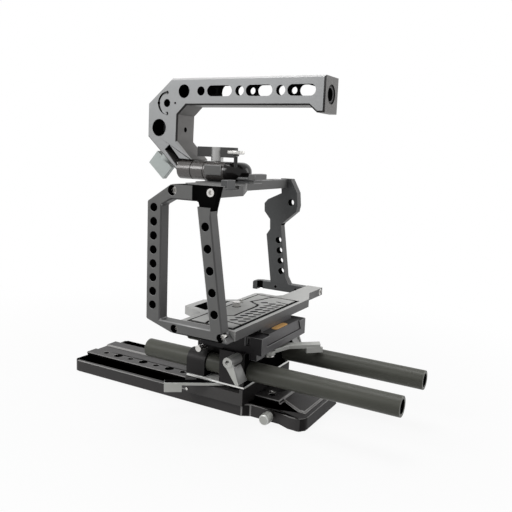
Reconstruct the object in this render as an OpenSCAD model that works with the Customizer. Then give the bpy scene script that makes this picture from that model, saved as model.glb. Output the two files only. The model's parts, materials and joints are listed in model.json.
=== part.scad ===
// Camera cage with top handle, on a rod bridge that slides along a dovetail base plate.
// Origin: centre of the base plate underside. +X runs forward along the rods, +Z is up.

/* [Base plate] */
// Length of the base plate
base_length = 229; // [222:1:250]
// Width of the base plate
base_width = 71; // [69:1:76]
// Height of the two shelves beside the dovetail
shelf_height = 10; // [9.5:0.5:13]
// Width of the dovetail across its top
dovetail_width = 39.6; // [38:0.2:41]
// Rise of the dovetail above the shelves
dovetail_rise = 3; // [2.5:0.25:4]
// Spacing of the holes in the dovetail
base_hole_pitch = 14.45; // [13.5:0.25:14.5]

/* [Bridge] */
// Height of the dovetail clamp
clamp_height = 13; // [12.5:0.5:16]
// Length of the dovetail clamp along the base
clamp_length = 53; // [52:1:58]
// Thickness of the silver plate over the clamp
spacer_thickness = 2.7; // [2.5:0.25:4]
// Height of the rod block
block_height = 26; // [25.5:0.5:30]
// Height of the quick release receiver
receiver_height = 13.5; // [13:0.5:16]
// Width of the quick release receiver
receiver_width = 76; // [74:1:80]

/* [Rods] */
// Diameter of each rod
rod_diameter = 15; // [14:0.25:16]
// Distance between the two rod axes
rod_spacing = 60; // [58:0.5:61]
// Length of each rod
rod_length = 216; // [160:2:300]
// Inside diameter of the rod tubes
rod_bore = 10.6; // [9:0.2:11.4]

/* [Levers] */
// Length of the dovetail lever from its pivot to its tip
dovetail_lever_length = 50; // [47:1:54]
// Length of a rod lever from its pivot to its tip
rod_lever_length = 18; // [16:0.5:20]
// Thickness of the flat lever grips
grip_thickness = 2.6; // [2:0.2:3]

/* [Cage] */
// Clear width between the two side panels
cage_width = 169; // [160:1:180]
// Clear height from the bottom plate to the top plate
cage_height = 93; // [88:1:105]
// Thickness of the bottom plate
deck_thickness = 7; // [6.5:0.5:9]
// Thickness of the top plate
roof_thickness = 8; // [7:0.5:10]
// Thickness of the near side panel
near_panel_thickness = 10; // [9:0.5:12]
// Thickness of the far side panel
far_panel_thickness = 8; // [7.5:0.5:10]
// Diameter of the accessory holes in the panels
panel_hole = 6.2; // [5.4:0.2:6.4]

/* [Handle] */
// Width of the handle
handle_width = 23.6; // [22.5:0.5:27]
// Depth of the grip bar
grip_depth = 21; // [20:0.5:25]
// Distance from the rear of the grip to its front end
grip_length = 134; // [130:1:150]
// Height of the grip top above the top plate
handle_rise = 80.2; // [78:0.5:90]
// Length of the clamp barrel under the handle
barrel_length = 59.5; // [57:0.5:63]
// Span of the wing knob
knob_span = 35.6; // [32:0.2:37]

/* [Hidden] */
running = 0.08;
seat = 0.3;
cut = 1;
fit = 0.05;
round_fn = 48;
small_fn = 32;

half_base = base_length / 2;
half_width = base_width / 2;
groove_floor = 4.5;
dovetail_top = shelf_height + dovetail_rise;
dovetail_half = dovetail_width / 2;
flank_lean = 0.388;
dovetail_foot = dovetail_half - flank_lean * (dovetail_top - groove_floor);
groove_outer = dovetail_half + 4.8;
channel_half = 7.3;
channel_depth = 1.2;
strip_y = (dovetail_half + channel_half) / 2 - 2.25;
base_hole_start = -half_base + 16.8;
base_hole_count = floor((base_length - 54.9) / base_hole_pitch) + 1;
small_tap = 2.6;
large_tap = 3.97;
front_pad_x = half_base - 28.1;
front_pad_top = shelf_height + 1.6;
waist_depth = 3.5;
corner = 8;

stop_x = half_base - 28.5;
stop_z = 6.3;
stop_pin_r = 2;
stop_sleeve_r = 3;
stop_knob_r = 4;
waist_y = half_width - waist_depth;
stop_bore_end = dovetail_half + 0.8;

clamp_x = 12;
clamp_half = 40;
clamp_bottom = shelf_height + seat;
clamp_top = clamp_bottom + clamp_height;
clamp_end = clamp_x + clamp_length;
spacer_top = clamp_top + spacer_thickness;
pivot_x = 46;
pivot_y = 10.4 - clamp_half;
pivot_r = 3;
lever_hub_r = 5.5;
lever_slot_floor = clamp_top - 3.3;
lever_thick = 2.2;
lever_z = clamp_top - 0.1 - lever_thick;
lever_angle = 215.6;

rod_r = rod_diameter / 2;
rod_y = rod_spacing / 2;
rod_z = spacer_top + 10;
rod_rear = -32;
rod_thread = 16;
block_x = 12;
block_end = 66;
block_top = spacer_top + block_height;
collar_r = rod_r + 3.5;
collar_length = 17;
collar_wall = 1.4;
jaw_length = 22;
core_half = rod_y - rod_r + 1;
block_face = rod_y + collar_r;
rod_lever_x = 60.5;
rod_lever_z = block_top - 3.4;
rod_lever_stem_r = 2.4;
rod_lever_hub_r = 4;
rod_lever_angle = 61.5;
rod_lever_outer = 15;

receiver_x = 24;
receiver_end = 79;
receiver_half = receiver_width / 2;
receiver_top = block_top + receiver_height;
receiver_floor = block_top + 5.7;
slot_foot = 30;
slot_mouth = 26;
deck_z = receiver_top + 3.5;
plate_foot_z = receiver_floor + seat;

qr_pivot_x = 74;
qr_pivot_y = -17;
qr_hub_r = 5;
qr_lever_z = block_top - 4.3;
qr_lever_thick = 3;
qr_bar_x = 79.5;
qr_bar_y = 6;
qr_tip_x = 99;
qr_tip_y = 25;
qr_paddle_drop = qr_lever_z - rod_z - rod_r - seat;

lock_x = 25;
lock_z = block_top - 3;
lock_r = 2;

near_y = -64;
far_y = near_y + cage_width;
deck_top = deck_z + deck_thickness;
roof_z = deck_top + cage_height;
roof_top = roof_z + roof_thickness;
far_top = roof_top + 0.7;
panel_tap = panel_hole / 2;
deck_rear = 22.2;
deck_front = 71;
arm_front = 61.4;
arm_rear = 46;
pad_top = deck_top + 0.6;
pad_recess = 0.8;
camera_x = 35;
camera_y = -3;
camera_screw_r = 3.175;
pin_x = 31;
pin_y = 11;
rear_hole_pitch = 10.3;
rear_hole_count = 8;
front_hole_count = 5;
screw_head_r = 3.5;
roof_head_r = 3;
screw_head_h = 3;
bore_depth = 6.4;
screw_r = 2;
deck_screw_r = 1.5;
deck_head_r = 2.2;

notch_x = 48;
notch_floor = roof_top - 3;
rail_neck = 7;
rail_half = 9.5;
rail_neck_h = 1.8;
rail_h = 4.8;
rail_start = 3;
barrel_r = 7.6;
barrel_half = 15.4;
nose_x = 25.1;
barrel_front = nose_x + barrel_half;
barrel_rear = barrel_front - barrel_length;
rail_stop_x = barrel_front + 4.8;
barrel_bottom = roof_top + 0.6;
barrel_top = barrel_bottom + 2 * barrel_r;
foot_flat = barrel_half - barrel_r;
dowel_r = 1.6;
knob_x = 10.1;
thumb_x = 33.6;
thumb_y = -10;

half_handle = handle_width / 2;
handle_top = roof_top + handle_rise;
grip_under = handle_top - grip_depth;
handle_rear = -27.8;
handle_end = handle_rear + grip_length;
slot_half = 4.1;
grip_wall = 5;
insert_r = 4.8;
grip_axis = handle_top - 10.2;
slot_pitch = (grip_length - 29) / 3;
wing_along = 20.3;
wing_x = -37;
wing_z = roof_top + 20.4;
wing_tilt = 41.6;

// Helpers: prisms along each axis and bores along each axis
module prism_y(points, y_start, depth) {
    translate([0, y_start + depth, 0])
        rotate([90, 0, 0])
            linear_extrude(depth) polygon(points);
}

module prism_x(points, x_start, depth) {
    translate([x_start, 0, 0])
        rotate([90, 0, 90])
            linear_extrude(depth) polygon(points);
}

module prism_z(points, z_start, depth) {
    translate([0, 0, z_start])
        linear_extrude(depth) polygon(points);
}

module rod_along_x(x_start, y, z, r, depth, sides = round_fn) {
    translate([x_start, y, z])
        rotate([0, 90, 0])
            cylinder(r = r, h = depth, $fn = sides);
}

module rod_along_y(x, y_start, z, r, depth, sides = round_fn) {
    translate([x, y_start, z])
        rotate([-90, 0, 0])
            cylinder(r = r, h = depth, $fn = sides);
}

module rod_along_z(x, y, z_start, r, depth, sides = round_fn) {
    translate([x, y, z_start])
        cylinder(r = r, h = depth, $fn = sides);
}

// Cap screw pointing down from its head; the head sits on z = 0
module cap_screw(head_r, head_h, shank_r, shank_length) {
    difference() {
        union() {
            cylinder(r = head_r, h = head_h, $fn = small_fn);
            translate([0, 0, -shank_length])
                cylinder(r = shank_r, h = shank_length, $fn = small_fn);
        }
        translate([0, 0, head_h * 0.45])
            cylinder(r = head_r * 0.55, h = head_h, $fn = 6);
    }
}

function arc_points(x, y, r, start, sweep, steps) =
    [for (i = [0:steps]) [x + r * cos(start + sweep * i / steps), y + r * sin(start + sweep * i / steps)]];

// Base plate
function base_plan() = concat(
    arc_points(-half_base + 6, -half_width + 6, 6, 180, 90, 6),
    [[half_base - 52.5, -half_width], [half_base - 46.5, -waist_y], [half_base - 21.5, -waist_y], [half_base - 12.5, -half_width]],
    arc_points(half_base - corner, -half_width + corner, corner, -90, 90, 8),
    arc_points(half_base - corner, half_width - corner, corner, 0, 90, 8),
    [[half_base - 12.5, half_width], [half_base - 21.5, waist_y], [half_base - 46.5, waist_y], [half_base - 52.5, half_width]],
    arc_points(-half_base + 6, half_width - 6, 6, 90, 90, 6)
);

function groove_section() = [
    [-groove_outer, dovetail_top + cut],
    [-groove_outer, groove_floor],
    [-dovetail_foot, groove_floor],
    [-dovetail_half, dovetail_top],
    [-dovetail_half, dovetail_top + cut]
];

function front_pad_plan() = [
    [front_pad_x, -11.2], [half_base - 9.5, -23.4], [half_base - 4.5, -23.4],
    [half_base - 4.5, 23.4], [half_base - 9.5, 23.4], [front_pad_x, 11.2]
];

module base_holes(first, radius) {
    for (i = [first:2:base_hole_count - 1])
        rod_along_z(base_hole_start + i * base_hole_pitch, -strip_y, -cut, radius, dovetail_top + 2 * cut, small_fn);
}

module base_plate() {
    color([0.13, 0.12, 0.12])
        difference() {
            union() {
                prism_z(base_plan(), 0, shelf_height);
                translate([-half_base, -dovetail_half, shelf_height])
                    cube([half_base + front_pad_x, dovetail_width, dovetail_rise]);
                prism_z(front_pad_plan(), shelf_height, front_pad_top - shelf_height);
            }
            prism_x(groove_section(), -half_base - cut, half_base + front_pad_x + cut);
            mirror([0, 1, 0])
                prism_x(groove_section(), -half_base - cut, half_base + front_pad_x + cut);
            translate([-half_base - cut, -channel_half, dovetail_top - channel_depth])
                cube([half_base + front_pad_x - 6, 2 * channel_half, channel_depth + cut]);
            base_holes(0, small_tap);
            base_holes(1, large_tap);
            rod_along_z(0, 0, -cut, large_tap, 9 + cut);
            rod_along_z(-38, 0, -cut, small_tap, 8.5 + cut);
            rod_along_z(38, 0, -cut, small_tap, 8.2 + cut);
            rod_along_y(stop_x, -half_width - cut, stop_z, stop_pin_r + running, half_width + cut - stop_bore_end);
            rod_along_y(stop_x, -half_width - cut, stop_z, stop_sleeve_r - 0.6, half_width + cut - groove_outer - 2);
            for (place = base_screw_places())
                translate(place) {
                    rod_along_z(0, 0, -1.9 - 3.6, 1.5, 4);
                    rod_along_z(0, 0, -1.9, 2.5, 1.9 + cut);
                }
        }
}

// Two small screws sunk flush in the shelf and in the channel
function base_screw_places() = [
    [half_base - 33.1, -27.6, shelf_height], [half_base - 42.5, -3.2, dovetail_top - channel_depth]
];

module base_screws() {
    color([0.75, 0.75, 0.74])
        for (place = base_screw_places())
            translate(place + [0, 0, -1.9])
                cap_screw(2.4, 1.8, 1.5 - fit, 3.6);
}

// Guide sleeve of the stop plunger, seated on the waist of the base
module stop_sleeve() {
    color([0.2, 0.2, 0.2])
        difference() {
            rod_along_y(stop_x, -waist_y - 3, stop_z, stop_sleeve_r, 3);
            rod_along_y(stop_x, -waist_y - 3 - cut, stop_z, stop_pin_r + running, 3 + 2 * cut);
        }
}

// Pull knob of the stop plunger with its pin
module stop_knob() {
    color([0.72, 0.74, 0.72])
        union() {
            rod_along_y(stop_x, -waist_y - 3 - seat - 9, stop_z, stop_knob_r, 9);
            rod_along_y(stop_x, -waist_y - 3 - seat, stop_z, stop_pin_r, waist_y + 3 + seat - stop_bore_end - 0.4, small_fn);
        }
}

// Clamp that rides on the dovetail
function clamp_section() = let (foot_z = groove_floor + seat, roof = dovetail_top + running) [
    [-clamp_half, clamp_bottom],
    [-groove_outer + seat, clamp_bottom],
    [-groove_outer + seat, foot_z],
    [-dovetail_foot - flank_lean * seat - running, foot_z],
    [-dovetail_half - flank_lean * running - running, roof],
    [dovetail_half + flank_lean * running + running, roof],
    [dovetail_foot + flank_lean * seat + running, foot_z],
    [groove_outer - seat, foot_z],
    [groove_outer - seat, clamp_bottom],
    [clamp_half, clamp_bottom],
    [clamp_half, clamp_top],
    [-clamp_half, clamp_top]
];

module dovetail_clamp() {
    color([0.24, 0.24, 0.25])
        difference() {
            prism_x(clamp_section(), clamp_x, clamp_length);
            rod_along_z(pivot_x, pivot_y, lever_slot_floor, lever_hub_r + 0.8, clamp_top - lever_slot_floor + cut);
            translate([22.6, -clamp_half - cut, lever_slot_floor])
                cube([39.4, clamp_half + pivot_y + 2.2 + cut, clamp_top - lever_slot_floor + cut]);
            rod_along_z(pivot_x, pivot_y, clamp_bottom + 2, pivot_r, clamp_height);
            for (x = block_screw_x(), side = [-1, 1])
                rod_along_z(x, side * 12, dovetail_top + 2, screw_r, clamp_height, small_fn);
            rod_along_y(14, -clamp_half - cut, clamp_bottom + 2.9, 1.2, 6 + cut, small_fn);
        }
}

function block_screw_x() = [18, 50];
function receiver_screw_x() = [34, 60];

// Steel pivot pin of the dovetail lever
module lever_pivot() {
    color([0.7, 0.7, 0.7])
        rod_along_z(pivot_x, pivot_y, clamp_bottom + 2, pivot_r, clamp_height - 2);
}

// Small stop pin in the near face of the clamp
module clamp_pin() {
    color([0.78, 0.78, 0.78])
        rod_along_y(14, -clamp_half - 1.2, clamp_bottom + 2.9, 1.2, 7, small_fn);
}

// Silver plate between the clamp and the rod block
module spacer_plate() {
    color([0.78, 0.78, 0.77])
        difference() {
            union() {
                translate([clamp_x, -clamp_half + 1.5, clamp_top])
                    cube([clamp_length, 2 * clamp_half - 3, 0.7]);
                translate([clamp_x + 1, -clamp_half, clamp_top + 0.7])
                    cube([clamp_length, 2 * clamp_half, spacer_thickness - 0.7]);
            }
            for (x = block_screw_x(), side = [-1, 1])
                rod_along_z(x, side * 12, clamp_top - cut, screw_r + 0.2, spacer_thickness + 2 * cut, small_fn);
        }
}

// Lever that locks the clamp on the dovetail
module dovetail_lever() {
    paddle = 13.6;
    color([0.68, 0.69, 0.66])
        translate([pivot_x, pivot_y, lever_z])
            rotate([0, 0, lever_angle])
                difference() {
                    union() {
                        cylinder(r = lever_hub_r, h = lever_thick, $fn = round_fn);
                        prism_z([[0, -4.2], [dovetail_lever_length - paddle, -3.4], [dovetail_lever_length, -3.4],
                            [dovetail_lever_length, 3.4], [dovetail_lever_length - paddle, 3.4], [0, 4.2]], 0, lever_thick);
                        translate([dovetail_lever_length - paddle, 3.4 - grip_thickness, -5.4])
                            cube([paddle, grip_thickness, 5.6]);
                    }
                    translate([0, 0, -cut])
                        cylinder(r = pivot_r + running, h = lever_thick + 2 * cut, $fn = round_fn);
                }
}

// Block that carries the two rods
module rod_block() {
    color([0.12, 0.12, 0.12])
        difference() {
            union() {
                translate([block_x, -core_half, spacer_top])
                    cube([block_end - block_x, 2 * core_half, block_height]);
                for (side = [-1, 1]) {
                    rod_along_x(block_x, side * rod_y, rod_z, rod_r + collar_wall, collar_length);
                    translate([block_x, side > 0 ? core_half - 4 : -rod_y - rod_r - collar_wall, spacer_top])
                        cube([collar_length, rod_y + rod_r + collar_wall - core_half + 4, rod_z - spacer_top]);
                    translate([block_end - jaw_length, side > 0 ? core_half - 4 : -block_face, spacer_top])
                        cube([jaw_length, block_face - core_half + 4, block_height]);
                }
            }
            for (side = [-1, 1]) {
                rod_along_x(block_x - cut, side * rod_y, rod_z, rod_r + fit, block_end - block_x + 2 * cut);
                translate([block_end - jaw_length - cut, side * rod_y - 0.6, rod_z])
                    cube([jaw_length + 2 * cut, 1.2, block_height]);
            }
            rod_along_y(rod_lever_x, -block_face - cut, rod_lever_z, rod_lever_stem_r + running, 20);
            rod_along_y(rod_lever_x, block_face + cut - 20, rod_lever_z, rod_lever_stem_r + running, 20);
            for (x = block_screw_x(), side = [-1, 1]) {
                rod_along_z(x, side * 12, spacer_top - cut, screw_r + 0.2, block_height + 2 * cut, small_fn);
                rod_along_z(x, side * 12, block_top - 5, screw_head_r + 0.2, 5 + cut, small_fn);
            }
            for (x = receiver_screw_x(), side = [-1, 1])
                rod_along_z(x, side * 18, block_top - 12, screw_r, 12 + cut, small_fn);
            rod_along_y(lock_x, -core_half - cut, lock_z, lock_r + running, 12 + cut, small_fn);
            translate([26, -13, spacer_top - cut])
                cube([14, 26, 14]);
        }
}

// Screws that tie the rod block, the silver plate and the clamp together
module block_screws() {
    color([0.7, 0.7, 0.7])
        for (x = block_screw_x(), side = [-1, 1])
            translate([x, side * 12, block_top - 5])
                cap_screw(screw_head_r, 4, screw_r - fit, block_height - 5 + spacer_thickness + clamp_height - 7);
}

// Lever of one rod clamp: screw, eye, arm and bent grip
module rod_lever() {
    face = block_face + seat;
    span = rod_lever_length;
    color([0.72, 0.73, 0.71])
        translate([rod_lever_x, 0, rod_lever_z])
            union() {
                difference() {
                    rod_along_y(0, -face - rod_lever_outer, 0, rod_lever_hub_r, rod_lever_outer);
                    rod_along_y(0, -face - rod_lever_outer - cut, 0, 2, 3 + cut, 6);
                }
                rod_along_y(0, -face, 0, rod_lever_stem_r, 16, small_fn);
                rotate([0, rod_lever_angle, 0]) {
                    prism_y([[0, -rod_lever_hub_r + 0.4], [span, -grip_thickness / 2], [span, grip_thickness / 2], [0, rod_lever_hub_r - 0.4]],
                        -face - rod_lever_outer + 0.6, 2);
                    translate([5, -face - rod_lever_outer + 2.6, -grip_thickness / 2])
                        cube([span - 5, rod_lever_outer - 4, grip_thickness]);
                }
            }
}

module near_rod_lever() {
    rod_lever();
}

module far_rod_lever() {
    mirror([0, 1, 0])
        rod_lever();
}

// Rods
module rod() {
    color([0.25, 0.26, 0.22])
        difference() {
            rod_along_x(rod_rear, 0, rod_z, rod_r, rod_length);
            rod_along_x(rod_rear - cut, 0, rod_z, rod_bore / 2 - 0.5, rod_length + 2 * cut);
            rod_along_x(rod_rear - cut, 0, rod_z, rod_bore / 2, rod_thread + cut);
            rod_along_x(rod_rear + rod_length - rod_thread, 0, rod_z, rod_bore / 2, rod_thread + cut);
        }
}

module near_rod() {
    translate([0, -rod_y, 0])
        rod();
}

module far_rod() {
    translate([0, rod_y, 0])
        rod();
}

// Receiver with its tapered slot
module receiver() {
    color([0.26, 0.26, 0.27])
        difference() {
            union() {
                translate([receiver_x, -receiver_half, block_top])
                    cube([receiver_end - receiver_x, receiver_width, receiver_height]);
                translate([68, -receiver_half, block_top - 4.5])
                    cube([7, 13, 4.5]);
            }
            prism_x([[-slot_foot, receiver_floor], [slot_foot, receiver_floor],
                [slot_mouth, receiver_top], [slot_mouth, receiver_top + cut],
                [-slot_mouth, receiver_top + cut], [-slot_mouth, receiver_top]],
                receiver_x - cut, receiver_end - receiver_x + 2 * cut);
            translate([64.4, -receiver_half - cut, block_top + 6])
                cube([3.9, 3 + cut, 6.2]);
            for (x = receiver_screw_x(), side = [-1, 1]) {
                rod_along_z(x, side * 18, block_top - cut, screw_r + 0.2, receiver_height, small_fn);
                rod_along_z(x, side * 18, receiver_floor - 3.2, screw_head_r + 0.2, 4, small_fn);
            }
            rod_along_z(qr_pivot_x, qr_pivot_y, block_top - cut, 2, 5 + cut, small_fn);
        }
}

// Screws that hold the receiver on the rod block
module receiver_screws() {
    color([0.7, 0.7, 0.7])
        for (x = receiver_screw_x(), side = [-1, 1])
            translate([x, side * 18, receiver_floor - 3.2])
                cap_screw(screw_head_r, screw_head_h, screw_r - fit, 12);
}

// Lever that locks the quick release plate
module qr_lever() {
    color([0.7, 0.71, 0.69])
        difference() {
            union() {
                rod_along_z(qr_pivot_x, qr_pivot_y, qr_lever_z, qr_hub_r, qr_lever_thick);
                prism_z([[qr_pivot_x + 1, qr_pivot_y - 3], [qr_bar_x + 2, qr_bar_y - 3],
                    [qr_tip_x + 2, qr_tip_y - 4], [qr_tip_x - 2, qr_tip_y + 3],
                    [qr_bar_x - 3, qr_bar_y + 3], [qr_pivot_x - 2, qr_pivot_y + 4]], qr_lever_z, qr_lever_thick);
                translate([qr_tip_x - 2, qr_tip_y + 3, qr_lever_z - qr_paddle_drop])
                    rotate([0, 0, 225.7])
                        translate([0, 5, 0])
                            cube([14, grip_thickness, qr_paddle_drop + 0.5]);
            }
            rod_along_z(qr_pivot_x, qr_pivot_y, qr_lever_z - cut, 3 + running, qr_lever_thick + 2 * cut);
        }
}

// Shoulder screw that carries the quick release lever
module qr_pivot() {
    color([0.75, 0.75, 0.75])
        difference() {
            union() {
                rod_along_z(qr_pivot_x, qr_pivot_y, qr_lever_z - seat, 3, block_top - qr_lever_z + seat);
                rod_along_z(qr_pivot_x, qr_pivot_y, qr_lever_z - seat - 1.4, 4.4, 1.4);
                rod_along_z(qr_pivot_x, qr_pivot_y, block_top, 2 - fit, 4.5, small_fn);
            }
            rod_along_z(qr_pivot_x, qr_pivot_y, qr_lever_z - seat - 1.4 - cut, 1.6, 1 + cut, 6);
        }
}

// Push pin at the rear of the receiver
module lock_pin() {
    color([0.8, 0.8, 0.79])
        union() {
            rod_along_y(lock_x, -core_half - 16, lock_z, lock_r, 24, small_fn);
            rod_along_y(lock_x, -core_half - 19, lock_z, 2.6, 3, small_fn);
        }
}

// Quick release plate under the cage
function qr_section() = let (rise = receiver_top - receiver_floor, lean = (slot_foot - slot_mouth) / rise) [
    [-slot_foot + lean * seat + running, plate_foot_z],
    [slot_foot - lean * seat - running, plate_foot_z],
    [slot_mouth - running, receiver_top],
    [slot_mouth - running, deck_z],
    [-slot_mouth + running, deck_z],
    [-slot_mouth + running, receiver_top]
];

module qr_plate() {
    color([0.1, 0.1, 0.1])
        difference() {
            prism_x(qr_section(), 27, 51);
            translate([deck_front, -slot_foot, deck_z - 2.6])
                cube([12, 2 * slot_foot, 4]);
            inlay(deck_z - 3.4, 2.9, 2);
            rod_along_z(camera_x, camera_y, plate_foot_z - cut, 8.6, 20);
            for (y = [-20, 20]) {
                rod_along_z(55, y, plate_foot_z - cut, screw_r + 0.2, 20, small_fn);
                rod_along_z(55, y, plate_foot_z - cut, screw_head_r + 0.2, 3.4 + cut, small_fn);
            }
        }
}

// Long gold inlay at the front of the quick release plate
module inlay(z_start, r, depth) {
    for (y = [-9, 6.5])
        rod_along_z(74.3, y, z_start, r, depth, small_fn);
    translate([74.3 - r, -9, z_start])
        cube([2 * r, 15.5, depth]);
}

module front_inlay() {
    color([0.78, 0.55, 0.25])
        inlay(deck_z - 3.4, 2.9 - fit, 1);
}

// Screws that hold the quick release plate under the cage
module qr_screws() {
    color([0.7, 0.7, 0.7])
        for (y = [-20, 20])
            translate([55, y, plate_foot_z + 3.4])
                rotate([180, 0, 0])
                    cap_screw(screw_head_r, screw_head_h, screw_r - fit, deck_z - plate_foot_z - 3.4 + 5);
}

// Bottom plate of the cage
function deck_plan() = [
    [deck_rear, near_y], [deck_front, near_y], [deck_front, 61], [arm_front, 83],
    [arm_front, far_y + far_panel_thickness], [arm_rear, far_y + far_panel_thickness],
    [arm_rear, 60], [42, 54], [25.5, 54], [deck_rear, 50.5],
    [deck_rear, 20], [-0.4, 1.5], [-0.4, -25.2], [deck_rear, -35.4]
];

function deck_window() = [[6.3, -22.2], [20.8, -27], [20.8, 11.5], [6.3, -3.6]];

module bottom_plate() {
    color([0.66, 0.66, 0.66])
        difference() {
            prism_z(deck_plan(), deck_z, deck_thickness);
            prism_z(deck_window(), deck_z - cut, deck_thickness + 2 * cut);
            translate([26.5, -61, deck_top - pad_recess])
                cube([41, 110, pad_recess + cut]);
            rod_along_z(camera_x, camera_y, deck_z - cut, camera_screw_r + 0.4, deck_thickness + 2 * cut);
            rod_along_z(pin_x, pin_y, deck_z + 2, 1.5, deck_thickness + cut, small_fn);
            for (y = [-20, 20])
                rod_along_z(55, y, deck_z - cut, screw_r, 5 + cut, small_fn);
            for (x = near_screw_x())
                rod_along_y(x, near_y - cut, deck_z + 3.4, deck_screw_r, 12 + cut, small_fn);
            rod_along_x(arm_rear - cut, far_y + far_panel_thickness / 2, deck_z + 3.4, screw_r + 0.2, 20, small_fn);
            rod_along_x(arm_front - 3.2, far_y + far_panel_thickness / 2, deck_z + 3.4, 3.2 + 0.2, 5, small_fn);
        }
}

function near_screw_x() = [24.8, 64.6];

// Rubber pad under the camera
module camera_pad() {
    color([0.45, 0.45, 0.45])
        difference() {
            translate([27, -60.5, deck_top - pad_recess])
                cube([40, 109, pad_recess + 0.6]);
            rod_along_z(camera_x, camera_y, deck_z, camera_screw_r + 0.8, 20);
            rod_along_z(pin_x, pin_y, deck_z, 1.8, 20, small_fn);
            translate([45.6, -46, pad_top - 0.5])
                cube([0.9, 76, 2]);
            translate([27 - cut, -46, pad_top - 0.5])
                cube([38, 0.9, 2]);
            translate([27 - cut, 29.6, pad_top - 0.5])
                cube([38, 0.9, 2]);
        }
}

// Screw that holds the camera
module camera_screw() {
    color([0.8, 0.8, 0.8])
        difference() {
            union() {
                rod_along_z(camera_x, camera_y, deck_z - 4 - seat, 8, 4);
                rod_along_z(camera_x, camera_y, deck_z - seat, camera_screw_r - 0.6, pad_top + 0.4 - deck_z + seat);
                rod_along_z(camera_x, camera_y, pad_top + 0.4, camera_screw_r, 3.5);
            }
            translate([camera_x - 9, camera_y - 0.8, deck_z - 4 - seat - cut])
                cube([18, 1.6, 1.6 + cut]);
        }
}

// Locating pin beside the camera screw
module locating_pin() {
    color([0.8, 0.8, 0.8])
        rod_along_z(pin_x, pin_y, deck_z + 2, 1.5 - fit, deck_thickness + 1.6, small_fn);
}

// Near side panel
function near_outline() = [
    [-1.4, deck_z + 7], [-1.4, roof_top - 13.5], [19, roof_top - 0.5], [21, roof_top], [57, roof_top],
    [53, roof_top - 17], [66, deck_z + 6], [71.3, deck_z], [21.5, deck_z]
];

function near_window() = [
    [11.5, deck_z + 8], [11.5, roof_top - 15.3], [20, roof_top - 10.7], [41.3, roof_top - 10.7],
    [42.5, roof_top - 18], [52, deck_z + 30.5], [55.5, deck_z + 8]
];

function front_hole_x(i) = 59 - (59 - 49.5) * i / (front_hole_count - 1);
function front_hole_z(i) = deck_z + 19.4 + (roof_top - 27.8 - deck_z - 19.4) * i / (front_hole_count - 1);

module near_panel() {
    back = near_y - near_panel_thickness;
    color([0.36, 0.36, 0.36])
        difference() {
            prism_y(near_outline(), back, near_panel_thickness);
            prism_y(near_window(), back - cut, near_panel_thickness + 2 * cut);
            for (i = [0:rear_hole_count - 1])
                rod_along_y(4.8, back - cut, deck_z + 18.3 + rear_hole_pitch * i, panel_tap, near_panel_thickness + 2 * cut, small_fn);
            for (i = [0:front_hole_count - 1])
                rod_along_y(front_hole_x(i), back - cut, front_hole_z(i), panel_tap, near_panel_thickness + 2 * cut, small_fn);
            for (x = near_screw_x()) {
                rod_along_y(x, back - cut, deck_z + 3.4, deck_screw_r + 0.2, near_panel_thickness + 2 * cut, small_fn);
                rod_along_y(x, back - cut, deck_z + 3.4, deck_head_r + 0.8, bore_depth + cut, small_fn);
            }
            for (x = roof_screw_x()) {
                rod_along_y(x, back - cut, roof_top - 4.4, screw_r + 0.2, near_panel_thickness + 2 * cut, small_fn);
                rod_along_y(x, back - cut, roof_top - 4.4, roof_head_r + 0.6, bore_depth + cut, small_fn);
            }
            prism_z([[38, back - cut], [38, back], [42.5, back + 4], [60, back + 4], [60, back - cut]],
                roof_top - 14.4, 14.4 + cut);
        }
}

function roof_screw_x() = [20.8, 50.5];

// Screws through the near panel into the bottom plate
module deck_screws() {
    color([0.82, 0.82, 0.82])
        for (x = near_screw_x())
            translate([x, near_y - near_panel_thickness + bore_depth, deck_z + 3.4])
                rotate([90, 0, 0])
                    cap_screw(deck_head_r, 2.8, deck_screw_r - fit, near_panel_thickness + 9.2 - bore_depth);
}

// Screws through the near panel into the top plate
module roof_screws() {
    color([0.82, 0.82, 0.82])
        for (x = roof_screw_x())
            translate([x, near_y - near_panel_thickness + bore_depth, roof_top - 4.4])
                rotate([90, 0, 0])
                    cap_screw(roof_head_r, 2.8, screw_r - fit, near_panel_thickness + 4.8 - bore_depth);
}

// Far side panel with its bottom rail
function far_outline() = [
    [15.5, far_top], [26, far_top], [33.2, roof_top - 12.1], [34.4, roof_top - 24.4], [33.2, roof_top - 30.2],
    [18.9, roof_top - 42.5], [17.9, roof_top - 44.5], [25, deck_z + 13.6], [29.1, deck_z + 6.6],
    [arm_rear, deck_z + 6.6], [arm_rear, deck_z - 1], [-6, deck_z - 1], [-6, deck_z - 2.8], [-10.5, deck_z - 2.8],
    [-10.5, deck_z + 4.4], [-9.3, deck_z + 5.6], [-4, deck_z + 6.2], [9.3, deck_z + 6.6], [2.5, roof_top - 54.4],
    [6.1, roof_top - 49.1], [5.6, roof_top - 39.3], [-0.8, roof_top - 32], [-1.2, roof_top - 24.2],
    [2.4, roof_top - 20.1], [16.8, roof_top - 13.3]
];

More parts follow.
